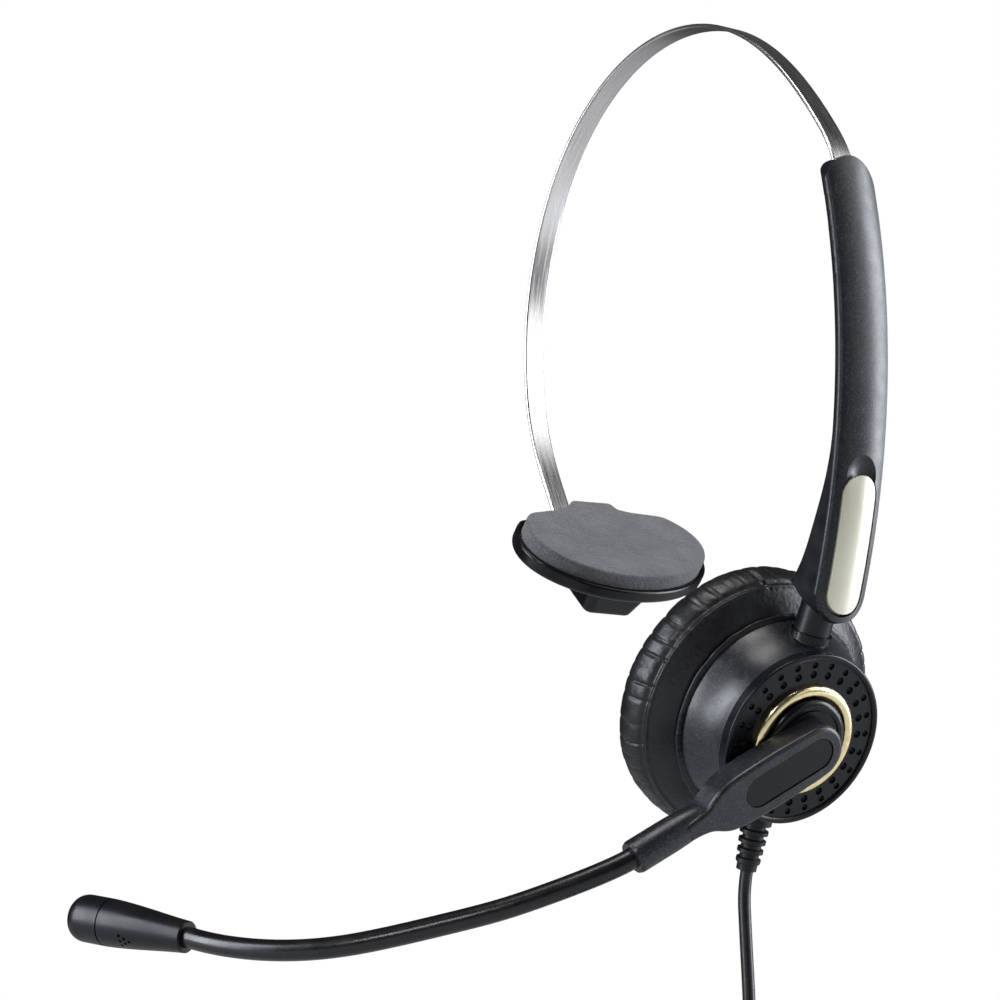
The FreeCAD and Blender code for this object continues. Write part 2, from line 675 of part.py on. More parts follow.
def tube_line():
    """The bent tube in the boom's own frame: a straight end in the socket, a long bend, the mic's end."""
    mic = MIC_DIR / MIC_DIR.Length
    route = [SOCKET_START + SOCKET_RUN * reach for reach in (12, 16, 21)]
    route += [V(54, 0, 5.1), V(64.6, 0, 2.6), V(74.7, 0, -0.6), V(84.1, 0, -4.8), V(94, 0, -9.7),
              V(104.4, 0, -15.8), V(113.6, 0, -23.7), V(120.7, 0, -32.5), V(125.3, 0, -40.3)]
    route += [MIC_START + mic * reach for reach in (0.5, 3, 5.5)]
    path = curve(route)
    circle = Part.Wire(Part.Circle(route[0], path.tangentAt(path.FirstParameter), TUBE_R).toShape())
    return Part.Wire(path).makePipeShell([circle], True, False)


def boom_tube():
    return in_boom(tube_line())


def mic_holes():
    holes = []
    for row, spots in enumerate(((0,), (-0.5, 0.5), (-1, 0, 1))):
        for across in spots:
            start = V(1.5, across * 1.3, 12.4 + row * 1.15)
            holes.append(Part.makeCylinder(0.36, 8, start, V(1, 0, 0)))
    return holes


def mic_body():
    body = turned([(0.01, 0), (3.1, 0)], [(3.1, 0), (3.35, 0.25)],
                  [(3.35, 0.25), (3.65, 4), (4.25, 10), (4.75, 15.5), (MIC_R, MIC_BODY_LONG)],
                  [(MIC_R, MIC_BODY_LONG), (0.01, MIC_BODY_LONG)], [(0.01, MIC_BODY_LONG), (0.01, 0)])
    body = body.cut(disc(3.4, 11.5, 30))
    body = body.cut(mic_holes())
    return in_boom(along_mic(body).cut(tube_line()))


def along_mic(shape):
    """Stands a shape made about +Z on the end of the tube; its +X side faces outwards."""
    mic = MIC_DIR / MIC_DIR.Length
    side = V(-mic.z, 0, mic.x)
    return placed(shape, MIC_START, side, mic)


def mic_cap():
    groove_r = MIC_R - 0.25
    groove_top = MIC_BODY_LONG + 0.35
    cap = turned([(0.01, MIC_BODY_LONG), (groove_r, MIC_BODY_LONG)],
                 [(groove_r, MIC_BODY_LONG), (groove_r, groove_top)],
                 [(groove_r, groove_top), (MIC_R, groove_top)],
                 [(MIC_R, groove_top), (MIC_R, 26.8)],
                 [(MIC_R, 26.8), (4.8, 28.1), (4.2, 29.1), (3.1, MIC_LONG)],
                 [(3.1, MIC_LONG), (0.01, MIC_LONG)],
                 [(0.01, MIC_LONG), (0.01, MIC_BODY_LONG)])
    return in_boom(along_mic(cap))


def mic_element():
    return in_boom(along_mic(disc(3.0, 15.0, 20.0)))


# ---------------------------------------------------------------- all pieces

def pieces():
    strip = headband_strip()
    inner_shell = arm_inner_shell()
    made = {"headband_strip": strip, "strip_stop": strip_stop(strip),
            "temple_clip": temple_clip(strip), "arm_inner_shell": inner_shell,
            "neck": neck(inner_shell)}
    for maker in (temple_foam, temple_plate, temple_pin, arm_outer_shell, arm_insert, arm_screws,
                  size_spring, neck_clip, cup_shell, cup_screws, disc_cover, gold_ring, neck_ring,
                  baffle_plate, driver_frame, driver_cone, driver_magnet, terminal_board,
                  cushion_lip, ear_cushion, ear_scrim, strain_relief, cable, cable_coil, cable_tie,
                  plug_boot, plug_body, plug_shaft, plug_rings, pivot_disc, boom_arm, boom_inlay,
                  boom_axle, axle_clip, wave_washer, boom_tube, mic_body, mic_cap, mic_element):
        made[maker.__name__] = maker()
    return made


os.makedirs("parts", exist_ok=True)
for name, shape in pieces().items():
    box = shape.BoundBox
    print("%-16s solids %d valid %s volume %8.1f  x %.1f %.1f  y %.1f %.1f  z %.1f %.1f"
          % (name, len(shape.Solids), shape.isValid(), shape.Volume,
             box.XMin, box.XMax, box.YMin, box.YMax, box.ZMin, box.ZMax))
    shape.exportStep("parts/" + name + ".step")
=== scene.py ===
import json
import math
import random

import bpy
from mathutils import Matrix, Vector, noise


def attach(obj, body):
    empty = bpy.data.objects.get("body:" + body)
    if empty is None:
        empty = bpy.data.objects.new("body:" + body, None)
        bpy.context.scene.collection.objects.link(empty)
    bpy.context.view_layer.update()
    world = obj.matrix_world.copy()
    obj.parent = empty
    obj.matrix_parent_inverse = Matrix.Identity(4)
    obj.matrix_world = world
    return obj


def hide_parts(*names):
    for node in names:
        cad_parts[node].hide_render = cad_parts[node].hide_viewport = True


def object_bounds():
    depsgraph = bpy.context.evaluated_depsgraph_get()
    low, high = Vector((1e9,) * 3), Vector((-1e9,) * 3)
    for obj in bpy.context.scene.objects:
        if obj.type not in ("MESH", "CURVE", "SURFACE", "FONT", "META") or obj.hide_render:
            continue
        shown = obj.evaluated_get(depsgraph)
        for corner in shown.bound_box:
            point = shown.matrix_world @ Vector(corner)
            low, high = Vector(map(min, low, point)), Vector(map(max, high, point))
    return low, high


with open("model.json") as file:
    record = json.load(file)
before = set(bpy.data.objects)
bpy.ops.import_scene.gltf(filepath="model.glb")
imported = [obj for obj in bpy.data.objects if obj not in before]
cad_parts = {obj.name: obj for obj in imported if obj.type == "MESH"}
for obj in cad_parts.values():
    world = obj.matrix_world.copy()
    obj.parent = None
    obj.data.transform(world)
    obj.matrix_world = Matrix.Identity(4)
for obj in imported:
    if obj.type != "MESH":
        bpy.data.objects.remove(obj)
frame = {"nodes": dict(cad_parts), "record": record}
cad_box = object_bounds()

# The ear cup's frame: UP along the cup, FRONT to the wearer's front, OUT away from the head
joints = {j["name"]: j for j in frame["record"]["behaviour"]["joints"]}
CUP = Vector(joints["boom_turn"]["pos_m"])
OUT = -Vector(joints["boom_turn"]["axis"]).normalized()
UP = Vector(joints["cup_swivel"]["axis"]).normalized()
FRONT = OUT.cross(UP)
MM = 0.001


def cup_point(up, front, out):
    """A point of the cup's frame, in millimetres, in the part's frame."""
    return CUP + (UP * up + FRONT * front + OUT * out) * MM


# ---------------------------------------------------------------- materials

def new_material(name):
    """A material with one shader: its nodes, links, shader and coordinates."""
    mat = bpy.data.materials.new(name)
    mat.use_nodes = True
    nodes = mat.node_tree.nodes
    nodes.clear()
    shader = nodes.new("ShaderNodeBsdfPrincipled")
    output = nodes.new("ShaderNodeOutputMaterial")
    mat.node_tree.links.new(shader.outputs[0], output.inputs[0])
    coords = nodes.new("ShaderNodeTexCoord")
    return mat, nodes, mat.node_tree.links, shader, coords.outputs["Object"]


def noise_node(nodes, links, where, scale, detail=3.0, stretch=None):
    """A noise texture's value, drawn out along an axis if stretch says so."""
    if stretch is not None:
        mapping = nodes.new("ShaderNodeMapping")
        mapping.inputs["Scale"].default_value = stretch
        links.new(where, mapping.inputs["Vector"])
        where = mapping.outputs[0]
    tex = nodes.new("ShaderNodeTexNoise")
    tex.inputs["Scale"].default_value = scale
    tex.inputs["Detail"].default_value = detail
    links.new(where, tex.inputs["Vector"])
    return tex.outputs["Fac"]


def ramp(nodes, links, value, stops):
    """A colour ramp; stops is a list of (position, colour)."""
    node = nodes.new("ShaderNodeValToRGB")
    while len(node.color_ramp.elements) < len(stops):
        node.color_ramp.elements.new(0.5)
    for element, (position, colour) in zip(node.color_ramp.elements, stops):
        element.position = position
        element.color = (*colour, 1)
    links.new(value, node.inputs["Fac"])
    return node.outputs["Color"]


def spread(nodes, links, value, low, high):
    """Maps a noise's middle range to low..high."""
    node = nodes.new("ShaderNodeMapRange")
    node.inputs["From Min"].default_value = 0.3
    node.inputs["From Max"].default_value = 0.7
    node.inputs["To Min"].default_value = low
    node.inputs["To Max"].default_value = high
    links.new(value, node.inputs["Value"])
    return node.outputs[0]


def bump(nodes, links, shader, height, depth_mm, strength=1.0, below=None):
    """Relief from a height, over another relief if below is given."""
    node = nodes.new("ShaderNodeBump")
    node.inputs["Distance"].default_value = depth_mm * MM
    node.inputs["Strength"].default_value = strength
    links.new(height, node.inputs["Height"])
    if below is not None:
        links.new(below, node.inputs["Normal"])
    links.new(node.outputs[0], shader.inputs["Normal"])
    return node.outputs[0]


def shade(colour, factor):
    """A colour made lighter or darker by a factor."""
    return tuple(min(1.0, c * factor) for c in colour)


def tone_ramp(nodes, links, value, colour, vary):
    """A ramp from a little darker than a colour to a little lighter."""
    return ramp(nodes, links, value,
                [(0.3, shade(colour, 1 - vary)), (0.7, shade(colour, 1 + vary))])


def plastic(name, colour, rough, grain=2600, depth=0.02, specular=0.4):
    """Moulded plastic: fine grain, slow changes of tone, a little handling wear in the gloss."""
    mat, nodes, links, shader, where = new_material(name)
    tone = noise_node(nodes, links, where, 90, 4)
    links.new(tone_ramp(nodes, links, tone, colour, 0.18), shader.inputs["Base Color"])
    wear = noise_node(nodes, links, where, 240, 5)
    links.new(spread(nodes, links, wear, rough * 0.85, rough * 1.2), shader.inputs["Roughness"])
    shader.inputs["Specular IOR Level"].default_value = specular
    bump(nodes, links, shader, noise_node(nodes, links, where, grain, 2), depth)
    return mat


FLECK = (0.030, 0.031, 0.035)


def sparkle_plastic(name, colour, rough):
    """Satin black plastic with a fine metallic fleck, as on the arm and the cup."""
    mat, nodes, links, shader, where = new_material(name)
    cells = nodes.new("ShaderNodeTexVoronoi")
    cells.inputs["Scale"].default_value = 4600
    links.new(where, cells.inputs["Vector"])
    flecks = ramp(nodes, links, cells.outputs["Color"],
                  [(0.0, colour), (0.68, shade(colour, 1.3)), (0.80, FLECK)])
    links.new(flecks, shader.inputs["Base Color"])
    wear = noise_node(nodes, links, where, 300, 5)
    links.new(spread(nodes, links, wear, rough * 0.85, rough * 1.15), shader.inputs["Roughness"])
    shader.inputs["Specular IOR Level"].default_value = 0.46
    bump(nodes, links, shader, noise_node(nodes, links, where, 3200, 2), 0.02)
    return mat


def metal(name, colour, rough, stretch=(1, 1, 1), scale=900, depth=0.006):
    """Metal with fine drawn or turned lines."""
    mat, nodes, links, shader, where = new_material(name)
    lines = noise_node(nodes, links, where, scale, 4, stretch)
    links.new(tone_ramp(nodes, links, lines, colour, 0.12), shader.inputs["Base Color"])
    links.new(spread(nodes, links, lines, rough * 0.8, rough * 1.25), shader.inputs["Roughness"])
    shader.inputs["Metallic"].default_value = 1.0
    bump(nodes, links, shader, lines, depth)
    return mat


def leatherette(name, colour):
    """Soft coated fabric: pebbled grain, fine creases, satin sheen."""
    mat, nodes, links, shader, where = new_material(name)
    cells = nodes.new("ShaderNodeTexVoronoi")
    cells.feature = "SMOOTH_F1"
    cells.inputs["Scale"].default_value = 1100
    links.new(where, cells.inputs["Vector"])
    tone = noise_node(nodes, links, where, 260, 5)
    links.new(ramp(nodes, links, tone, [(0.3, shade(colour, 0.8)), (0.7, shade(colour, 1.3))]),
              shader.inputs["Base Color"])
    links.new(spread(nodes, links, tone, 0.33, 0.45), shader.inputs["Roughness"])
    shader.inputs["Specular IOR Level"].default_value = 0.42
    grain = bump(nodes, links, shader, cells.outputs["Distance"], 0.10, 0.55)
    creases = noise_node(nodes, links, where, 700, 4)
    bump(nodes, links, shader, creases, 0.10, 0.45, grain)
    return mat


def foam(name, colour):
    """Open-cell foam: dusty, porous and matte, with each pore's hollow painted darker as painted
    shade.
    """
    mat, nodes, links, shader, where = new_material(name)
    cells = nodes.new("ShaderNodeTexVoronoi")
    cells.inputs["Scale"].default_value = 2300
    links.new(where, cells.inputs["Vector"])
    tone = noise_node(nodes, links, where, 150, 5)
    # Painted shade: the colour darkens in each pore's hollow, the same low spots that the bump
    # sinks.
    painted_pore_shade = ramp(nodes, links, cells.outputs["Distance"],
                 [(0.1, shade(colour, 0.55)), (0.6, shade(colour, 1.15))])
    dust = ramp(nodes, links, tone, [(0.25, (0.75, 0.74, 0.76)), (0.75, (1.1, 1.1, 1.12))])
    mix = nodes.new("ShaderNodeMix")
    mix.data_type = "RGBA"
    mix.blend_type = "MULTIPLY"
    mix.inputs["Factor"].default_value = 1.0
    links.new(painted_pore_shade, mix.inputs["A"])
    links.new(dust, mix.inputs["B"])
    links.new(mix.outputs["Result"], shader.inputs["Base Color"])
    shader.inputs["Roughness"].default_value = 0.95
    shader.inputs["Specular IOR Level"].default_value = 0.15
    shader.inputs["Sheen Weight"].default_value = 0.25
    bump(nodes, links, shader, cells.outputs["Distance"], 0.14, 0.7)
    return mat


def pearl(name, colour):
    """Pearl lacquer: fine flakes under a clear gloss coat."""
    mat, nodes, links, shader, where = new_material(name)
    flake = noise_node(nodes, links, where, 5200, 2)
    tone = noise_node(nodes, links, where, 70, 3)
    base = ramp(nodes, links, flake, [(0.35, shade(colour, 0.97)), (0.65, shade(colour, 1.03))])
    warm = ramp(nodes, links, tone, [(0.3, (0.97, 0.94, 0.90)), (0.7, (1.0, 1.0, 1.0))])
    mix = nodes.new("ShaderNodeMix")
    mix.data_type = "RGBA"
    mix.blend_type = "MULTIPLY"
    mix.inputs["Factor"].default_value = 1.0
    links.new(base, mix.inputs["A"])
    links.new(warm, mix.inputs["B"])
    links.new(mix.outputs["Result"], shader.inputs["Base Color"])
    links.new(spread(nodes, links, flake, 0.28, 0.34), shader.inputs["Roughness"])
    shader.inputs["Metallic"].default_value = 0.35
    shader.inputs["Coat Weight"].default_value = 0.6
    shader.inputs["Coat Roughness"].default_value = 0.06
    bump(nodes, links, shader, flake, 0.0012)
    return mat


def weave(name, colour):
    """Fine speaker cloth: threads crossing both ways, with painted shade in the gaps between
    threads and painted light on their tops.
    """
    mat, nodes, links, shader, where = new_material(name)
    threads = []
    for axis in ("Y", "Z"):
        wave = nodes.new("ShaderNodeTexWave")
        wave.bands_direction = axis
        wave.inputs["Scale"].default_value = 700
        wave.inputs["Distortion"].default_value = 0.6
        links.new(where, wave.inputs["Vector"])
        threads.append(wave.outputs["Fac"])
    both = nodes.new("ShaderNodeMath")
    both.operation = "MULTIPLY"
    links.new(threads[0], both.inputs[0])
    links.new(threads[1], both.inputs[1])
    # Painted light and shade: the thread height also sets the colour, dark in the low gaps and
    # lighter on the thread tops.
    links.new(ramp(nodes, links, both.outputs[0],
                   [(0.1, shade(colour, 0.4)), (0.7, shade(colour, 2.0))]),
              shader.inputs["Base Color"])
    shader.inputs["Roughness"].default_value = 0.9
    shader.inputs["Sheen Weight"].default_value = 0.2
    bump(nodes, links, shader, both.outputs[0], 0.12)
    return mat


materials = {
    "steel": metal("steel", (0.60, 0.58, 0.57), 0.24, (0.03, 1, 0.03), 2600),
    "grey_metal": metal("grey_metal", (0.30, 0.30, 0.31), 0.38),
    "gold_plate": metal("gold_plate", (0.83, 0.66, 0.36), 0.2),
    "gold": metal("gold", (0.86, 0.72, 0.42), 0.2, depth=0.003),
    "gloss_black": plastic("gloss_black", (0.004, 0.004, 0.005), 0.22, depth=0.004, specular=0.26),
    "satin_black": sparkle_plastic("satin_black", (0.0045, 0.005, 0.0068), 0.34),
    "disc_black": plastic("disc_black", (0.005, 0.0055, 0.0075), 0.27, depth=0.010, specular=0.26),
    "matte_black": plastic("matte_black", (0.004, 0.0042, 0.0055), 0.34, depth=0.016, specular=0.3),
    "black_plastic": plastic("black_plastic", (0.012, 0.012, 0.014), 0.5, depth=0.03),
    "pearl": pearl("pearl", (0.66, 0.65, 0.53)),
    "foam": foam("foam", (0.092, 0.092, 0.093)),
    "leatherette": leatherette("leatherette", (0.005, 0.005, 0.006)),
    "cloth": weave("cloth", (0.014, 0.014, 0.015)),
    "rubber_black": plastic("rubber_black", (0.005, 0.005, 0.006), 0.42, depth=0.03, specular=0.3),
    "cable_jacket": plastic("cable_jacket", (0.006, 0.006, 0.007), 0.36, 1800, 0.02, 0.4),
    "boom_sleeve": plastic("boom_sleeve", (0.004, 0.004, 0.005), 0.28, 2200, 0.005, 0.45),
    "cone_film": plastic("cone_film", (0.45, 0.44, 0.42), 0.4),
    "board": plastic("board", (0.05, 0.22, 0.10), 0.4),
}

for part in frame["record"]["subparts"]:
    mesh = frame["nodes"][part["node"]].data
    mesh.materials.clear()
    mesh.materials.append(materials[part["material_slot"]])


# ---------------------------------------------------------------- soft pieces

def add_mesh(name, points, faces, slot_name, body):
    mesh = bpy.data.meshes.new(name)
    mesh.from_pydata(points, [], faces)
    mesh.polygons.foreach_set("use_smooth", [True] * len(mesh.polygons))
    mesh.update()
    piece = bpy.data.objects.new(name, mesh)
    bpy.context.scene.collection.objects.link(piece)
    mesh.materials.append(materials[slot_name])
    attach(piece, body)
    return piece


def ring_faces(around, along, closed):
    """Quads of a grid that closes around, and closes along if closed."""
    faces = []
    for i in range(around):
        for j in range(along if closed else along - 1):
            a = i * along + j
            b = i * along + (j + 1) % along
            c = ((i + 1) % around) * along + (j + 1) % along
            d = ((i + 1) % around) * along + j
            faces.append((a, b, c, d))
    return faces


def smooth_curve(knots, steps):
    """Points on a smooth open curve through (r, z) knots."""
    padded_knots = [knots[0]] + knots + [knots[-1]]
    points = []
    for k in range(len(knots) - 1):
        p0, p1, p2, p3 = (Vector(p) for p in padded_knots[k:k + 4])
        for s in range(steps):
            t = s / steps
            points.append(0.5 * (2 * p1 + (p2 - p0) * t + (2 * p0 - 5 * p1 + 4 * p2 - p3) * t * t
                                 + (3 * p1 - p0 - 3 * p2 + p3) * t ** 3))
    points.append(Vector(knots[-1]))
    return points


PLEATS = 46
AROUND = 736
GATHER_MID, GATHER_HALF = 0.47, 0.16
PIPING_HIGH, PIPING_AT = 0.42, 0.345
GROOVE_DEEP, GROOVE_AT = 0.30, 0.375
RIDGE_WIDE = 0.012
CUSHION_BACK = -13.28


def pleat_depth(turn, seed):
    """Depth of the gathered folds at a place round the cushion, 0 on a crest and 1 in a fold."""
    place = Vector((math.cos(turn) * 2.3, math.sin(turn) * 2.3, seed))
    phase = turn * PLEATS / 2 + 2.6 * noise.noise(place)
    fold = 1 - abs(math.sin(phase))
    return fold ** 3.2 * max(0.15, 0.55 + 1.1 * noise.noise(place * 3.1))


def ear_cushion():
    """A ring of leatherette over foam: flat back, piped seam, gathered outer wall, soft face."""
    knots = [(14.3, -13.3), (18.0, -13.3), (21.6, -13.4), (24.2, -14.5), (26.6, -16.2),
             (28.0, -17.7), (29.4, -20.4), (29.8, -23.4), (28.9, -26.0), (26.2, -27.9),
             (22.0, -28.5), (18.0, -27.7), (15.4, -25.4), (14.4, -22.0), (14.3, -17.5)]
    centre = Vector((22.0, -20.5))
    profile = smooth_curve(knots, 7)
    points = []
    for i in range(AROUND):
        turn = 2 * math.pi * i / AROUND
        for j, (r, z) in enumerate(profile):
            t = j / (len(profile) - 1)
            gather = max(0.0, 1 - abs(t - GATHER_MID) / GATHER_HALF)
            depth = 1.0 * gather ** 0.8 * pleat_depth(turn + 0.03 * math.sin(9 * t), 0.4 + t * 0.8)
            slack = 0.35 * noise.noise(Vector((math.cos(turn) * 1.7, math.sin(turn) * 1.7, t * 3)))
            wrinkle = noise.noise(Vector((math.cos(turn) * 11, math.sin(turn) * 11, t * 14)))
            slack += 0.22 * gather * wrinkle
            slack *= math.sin(math.pi * t)
            piping = PIPING_HIGH * math.exp(-((t - PIPING_AT) / RIDGE_WIDE) ** 2)
            piping -= GROOVE_DEEP * math.exp(-((t - GROOVE_AT) / RIDGE_WIDE) ** 2)
            grow = slack + piping - depth
            way = (Vector((r, z)) - centre).normalized()
            r2 = r + way.x * grow
            z2 = min(CUSHION_BACK, z + way.y * grow)
            points.append(cup_point(r2 * math.cos(turn), r2 * math.sin(turn), z2))
    piece = add_mesh("ear_cushion_cover", points, ring_faces(AROUND, len(profile), True),
                     "leatherette", "ear_cup")
    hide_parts("ear_cushion")


def cushion_lip():
    """The thin rolled edge of leatherette that hooks over the cup's back, slightly wrinkled."""
    knots = [(20.6, -12.1), (22.3, -12.05), (23.2, -12.3), (23.35, -12.75), (22.9, -13.1),
             (20.6, -13.15)]
    profile = smooth_curve(knots, 4)
    around = 480
    points = []
    for i in range(around):
        turn = 2 * math.pi * i / around
        ripple = noise.noise(Vector((math.cos(turn) * 9, math.sin(turn) * 9, 3.0)))
        fine = noise.noise(Vector((math.cos(turn) * 24, math.sin(turn) * 24, 7.0)))
        for r, z in profile:
            free = max(0.0, (r - 21.6) / 1.7)
            r2 = r + free * (0.22 * ripple + 0.10 * fine)
            z2 = max(-13.2, min(-12.02, z + free * (0.10 * fine + 0.06 * ripple)))
            points.append(cup_point(r2 * math.cos(turn), r2 * math.sin(turn), z2))
    piece = add_mesh("cushion_rolled_edge", points, ring_faces(around, len(profile), True),
                     "leatherette", "ear_cup")
    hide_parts("cushion_lip")


CLOTH_R = 14.0
CLOTH_FACE = -13.35
CLOTH_CROWN = 0.45


def ear_cloth():
    """The cloth over the earpiece, drawn over its plate with a slight crown."""
    around, rings = 120, 16
    points = []
    for i in range(around):
        turn = 2 * math.pi * i / around
        for j in range(rings):
            r = CLOTH_R * (1 - j / rings)
            crown = CLOTH_CROWN * (1 - (r / CLOTH_R) ** 2)
            crown += 0.04 * noise.noise(Vector((r, turn * 3, 0)))
            points.append(cup_point(r * math.cos(turn), r * math.sin(turn), CLOTH_FACE - crown))
    faces = ring_faces(around, rings, False)
    faces.append([i * rings + rings - 1 for i in range(around)])
    piece = add_mesh("ear_cloth", points, faces, "cloth", "ear_cup")
    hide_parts("ear_scrim")


# The temple pad's frame: along the wearer's back, up the pad, out of its face
PAD_TILT = math.radians(49.2)
PAD_FACE = Vector((math.cos(PAD_TILT), 0, math.sin(PAD_TILT)))
PAD_UP = PAD_FACE.cross(Vector((0, 1, 0)))
PAD_PIN = Vector(joints["pad_tilt"]["pos_m"])
PAD_CENTRE = PAD_PIN - PAD_UP * 0.003 + PAD_FACE * 0.0148
FOAM_LONG, FOAM_HIGH, FOAM_THICK = 25.3, 15.8, 4.3
FACE_SINK = 0.12
PAD_TURN = math.radians(8)
PAD_TOP = [(40, 1), (40, 11.0), (10, 12.2), (6.6, 13.0), (5.6, 15.3), (-5.4, 14.7), (-7.6, 12.4),
           (-12.5, 9.6), (-20.6, 7.0), (-40, 1)]


def foam_edge(turn):
    """How far the foam's edge is from its middle: a turned oval, sloping shoulders, a tab."""
    way = Vector((math.cos(turn), math.sin(turn)))
    reach = 1 / math.hypot(math.cos(turn - PAD_TURN) / FOAM_LONG,
                           math.sin(turn - PAD_TURN) / FOAM_HIGH)
    for start, end in zip(PAD_TOP, PAD_TOP[1:]):
        p, q = Vector(start), Vector(end)
        across = q - p
        facing = way.x * across.y - way.y * across.x
        if abs(facing) < 1e-9:
            continue
        far = (p.x * across.y - p.y * across.x) / facing
        place = (p.x * way.y - p.y * way.x) / facing
        if far > 0 and 0 <= place <= 1:
            reach = min(reach, far)
    return reach


def temple_foam():
    """The foam of the temple pad: an even slab with a soft edge and a slightly uneven face."""
    around = 480
    raw = [foam_edge(2 * math.pi * i / around) for i in range(around)]
    edge = [sum(raw[(i + k) % around] for k in range(-3, 4)) / 7 for i in range(around)]
    levels = [(-0.2, -FOAM_THICK), (-0.05, -FOAM_THICK + 0.1), (0.0, -3.4), (-0.06, -2.6),
              (-0.02, -1.8),
              (-0.02, -1.0), (-0.08, -0.5), (-0.3, -0.15), (-0.7, 0.0)]
    shrink = [1 - k / 26 for k in range(1, 26)]
    points = []
    for i in range(around):
        turn = 2 * math.pi * i / around
        way = Vector((math.cos(turn), math.sin(turn)))
        rows = [((edge[i] + grow), height) for grow, height in levels]
        rows += [((edge[i] - 0.7) * factor, 0.0) for factor in shrink]
        for row, (reach, height) in enumerate(rows):
            spot = way * reach
            rough = 0.05 * noise.noise(Vector((spot.x * 0.35, spot.y * 0.35, height * 0.8)))
            fine = 0.05 * noise.noise(Vector((spot.x * 1.6, spot.y * 1.6, height * 2.6)))
            lift = height
            if row < len(levels) - 1:
                spot = way * (reach + rough + fine)
            else:
                lift = height + rough + fine - FACE_SINK
            offset = Vector((0, 1, 0)) * spot.x + PAD_UP * spot.y + PAD_FACE * lift
            points.append(PAD_CENTRE + offset * MM)
    count = len(levels) + len(shrink)
    faces = ring_faces(around, count, False)
    faces.append([i * count for i in reversed(range(around))])
    points.append(PAD_CENTRE - PAD_FACE * FACE_SINK * MM)
    for i in range(around):
        inner, after = i * count + count - 1, ((i + 1) % around) * count + count - 1
        faces.append((inner, len(points) - 1, after))
    piece = add_mesh("temple_foam_pad", points, faces, "foam", "temple_pad")
    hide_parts("temple_foam")


ear_cushion()
cushion_lip()
ear_cloth()
temple_foam()


# ---------------------------------------------------------------- cable

CABLE_D = 2.75
RING_CENTRE = Vector((30.6, 0, -259.6))
RING_R = 15.1
RING_TURNS = 9
PER_TURN = 16
LAYER_R = 4.02
LEAD = [(26.2, 0, -185.7), (23.45, 0, -194.1), (24.3, 0, -204.2), (25.7, 0, -217.7),
        (26.4, 0, -228.7), (21.5, 0, -237.7), (15.1, 0, -244.1)]
TAIL = [(8.7, -1.2, -259.6), (8.7, 0, -267.7), (8.7, 0, -271.0)]


def smooth_step(t):
    t = max(0.0, min(1.0, t))
    return t * t * (3 - 2 * t)


def coil_points():
    """Turns laid side by side; each moves over to the next place as it closes."""
    rnd = random.Random(4)
    swell = 1 / math.cos(math.pi / PER_TURN) ** 0.5
    points = []
    start = math.radians(150)
    total = RING_TURNS * PER_TURN - 1
    for k in range(total):
        turns = k / PER_TURN
        whole = int(turns)
        step_over = smooth_step((turns - whole - 0.72) / 0.28)
        place = math.radians(40) * (whole + (step_over if whole < RING_TURNS - 1 else 0))
        out = LAYER_R * math.cos(place) + rnd.uniform(-0.1, 0.1)
        side = LAYER_R * math.sin(place) + rnd.uniform(-0.1, 0.1)
        if k < 2:
            out = (6.3, 4.9)[k]
        angle = start + 2 * math.pi * turns
        radius = (RING_R + out) * swell
        across = Vector((radius * math.cos(angle), side, radius * math.sin(angle)))
        points.append(RING_CENTRE + across)
    return points


def cable():
    points = [Vector(p) for p in LEAD] + coil_points()
    points += [Vector((9.3, -3.6, -250.6))] + [Vector(p) for p in TAIL]
    curve = bpy.data.curves.new("cable_line", "CURVE")
    curve.dimensions = "3D"
    curve.bevel_depth = CABLE_D / 2 * MM
    curve.bevel_resolution = 6
    curve.use_fill_caps = True
    spline = curve.splines.new("NURBS")
    spline.points.add(len(points) - 1)
    for control, point in zip(spline.points, points):
        control.co = (*(point * MM), 1)
    spline.order_u = 3
    spline.use_endpoint_u = True
    spline.resolution_u = 6
    piece = bpy.data.objects.new("cable_line", curve)
    bpy.context.scene.collection.objects.link(piece)
    curve.materials.append(materials["cable_jacket"])
    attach(piece, "ear_cup")
    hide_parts("cable", "cable_coil")


cable()


# ---------------------------------------------------------------- stage

def area_light(name, place, aim, size, power, colour=(1, 1, 1)):
    lamp = bpy.data.lights.new(name, "AREA")
    lamp.shape = "RECTANGLE"
    lamp.size, lamp.size_y = size
    lamp.energy = power
    lamp.color = colour
    thing = bpy.data.objects.new(name, lamp)
    thing.location = place
    thing.rotation_euler = (Vector(aim) - Vector(place)).to_track_quat("-Z", "Y").to_euler()
    bpy.context.scene.collection.objects.link(thing)


def plane(name, centre, along, across, size, colour, pale):
    """A stage plane; pale is the least brightness that the camera sees on it."""
    mesh = bpy.data.meshes.new(name)
    a, b = Vector(along).normalized() * size / 2, Vector(across).normalized() * size / 2
    c = Vector(centre)
    mesh.from_pydata([c - a - b, c + a - b, c + a + b, c - a + b], [], [(0, 1, 2, 3)])
    mat, nodes, links, shader, where = new_material(name)
    tone = noise_node(nodes, links, where, 4, 3)
    links.new(ramp(nodes, links, tone, [(0.3, shade(colour, 0.985)), (0.7, colour)]),
              shader.inputs["Base Color"])
    shader.inputs["Roughness"].default_value = 0.9
    shader.inputs["Emission Color"].default_value = (*pale, 1)
    path = nodes.new("ShaderNodeLightPath")
    links.new(path.outputs["Is Camera Ray"], shader.inputs["Emission Strength"])
    mesh.materials.append(mat)
    thing = bpy.data.objects.new(name, mesh)
    bpy.context.scene.collection.objects.link(thing)


EYE = Vector((0.48934, -0.36333, -0.19903))
TARGET = Vector((-0.0558, -0.01283, -0.10418))
ROLL = math.radians(1.262)

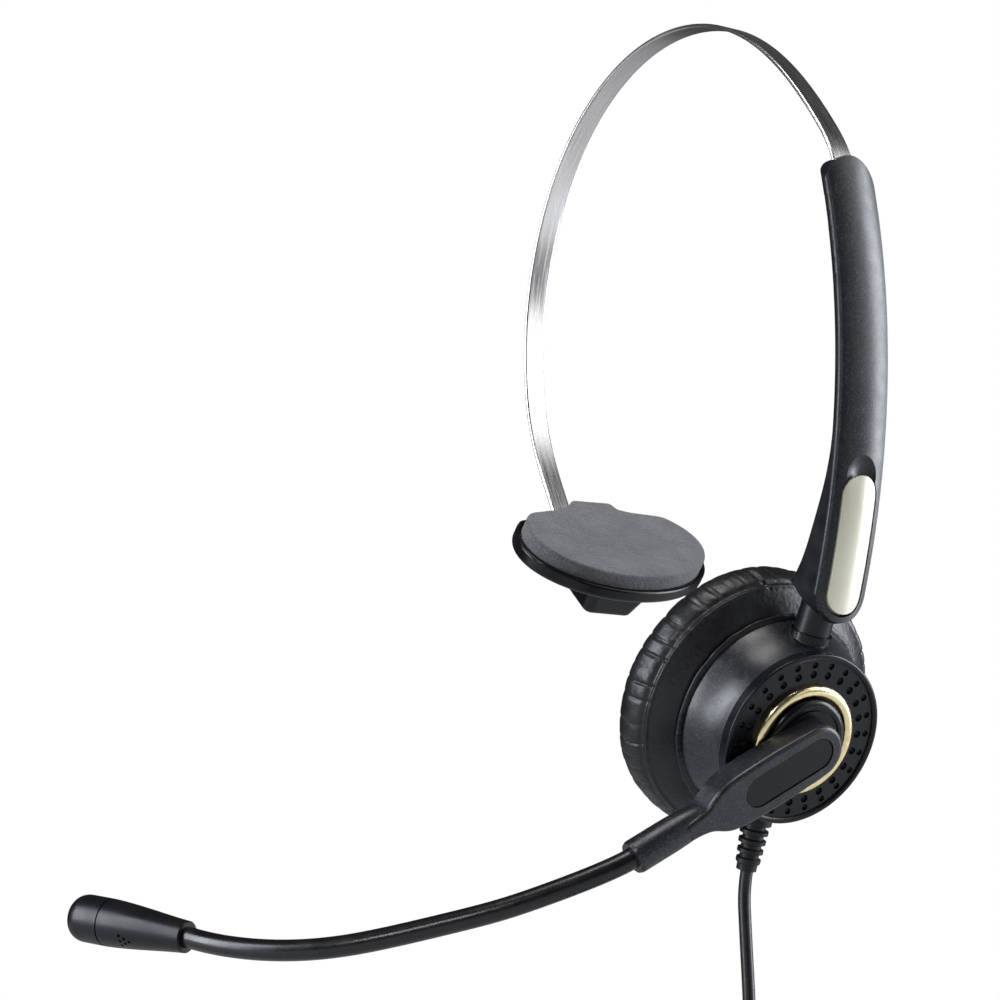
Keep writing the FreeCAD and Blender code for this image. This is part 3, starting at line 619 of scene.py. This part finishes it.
camera_data = bpy.data.cameras.new("camera")
camera_data.sensor_width = 36
camera_data.lens = 98.46
camera_data.clip_start = 0.01
camera = bpy.data.objects.new("camera", camera_data)
look = (TARGET - EYE).normalized()
side = look.cross(Vector((0, 0, 1))).normalized()
top = side.cross(look)
right = side * math.cos(ROLL) + top * math.sin(ROLL)
upward = top * math.cos(ROLL) - side * math.sin(ROLL)
camera.matrix_world = Matrix.Translation(EYE) @ Matrix((right, upward, -look)).transposed().to_4x4()
bpy.context.scene.collection.objects.link(camera)
bpy.context.scene.camera = camera

# A dim studio for the light it gives, with a plain white backdrop behind everything
world = bpy.data.worlds.new("studio")
world.use_nodes = True
world_nodes, world_links = world.node_tree.nodes, world.node_tree.links
dim = world_nodes["Background"]
dim.inputs["Color"].default_value = (1, 1, 1, 1)
dim.inputs["Strength"].default_value = 0.05
white = world_nodes.new("ShaderNodeBackground")
white.inputs["Color"].default_value = (1, 1, 1, 1)
white.inputs["Strength"].default_value = 1.0
seen = world_nodes.new("ShaderNodeLightPath")
choice = world_nodes.new("ShaderNodeMixShader")
world_links.new(seen.outputs["Is Camera Ray"], choice.inputs[0])
world_links.new(dim.outputs[0], choice.inputs[1])
world_links.new(white.outputs[0], choice.inputs[2])
world_links.new(choice.outputs[0], world_nodes["World Output"].inputs["Surface"])
bpy.context.scene.world = world
bpy.context.scene.view_settings.view_transform = "Standard"

middle = (Vector(cad_box[0]) + Vector(cad_box[1])) / 2
floor_z = cad_box[0][2] - 0.03
plane("floor", (0, 0, floor_z), (1, 0, 0), (0, 1, 0), 4, (0.55, 0.55, 0.55), (0.6, 0.6, 0.6))
cool = (0.88, 0.93, 1.0)
area_light("left_box", middle - right * 0.75 + upward * 0.28 - look * 0.22, middle,
           (0.28, 0.70), 9.0, cool)
area_light("right_box", middle + right * 0.62 + upward * 0.25 - look * 0.50, middle,
           (0.20, 0.55), 0.3, cool)
area_light("top_box", middle + upward * 0.85 - look * 0.10, middle, (0.40, 0.40), 3.2)
area_light("key_box", middle - right * 0.34 + upward * 0.46 - look * 0.72, middle,
           (0.16, 0.16), 1.6)
area_light("back_box", middle + Vector((0.60, 0.52, 0.45)), middle, (0.40, 0.80), 1.7)
area_light("side_box", middle + Vector((0.40, 0.80, 0.20)), middle, (0.36, 0.80), 11.0, cool)
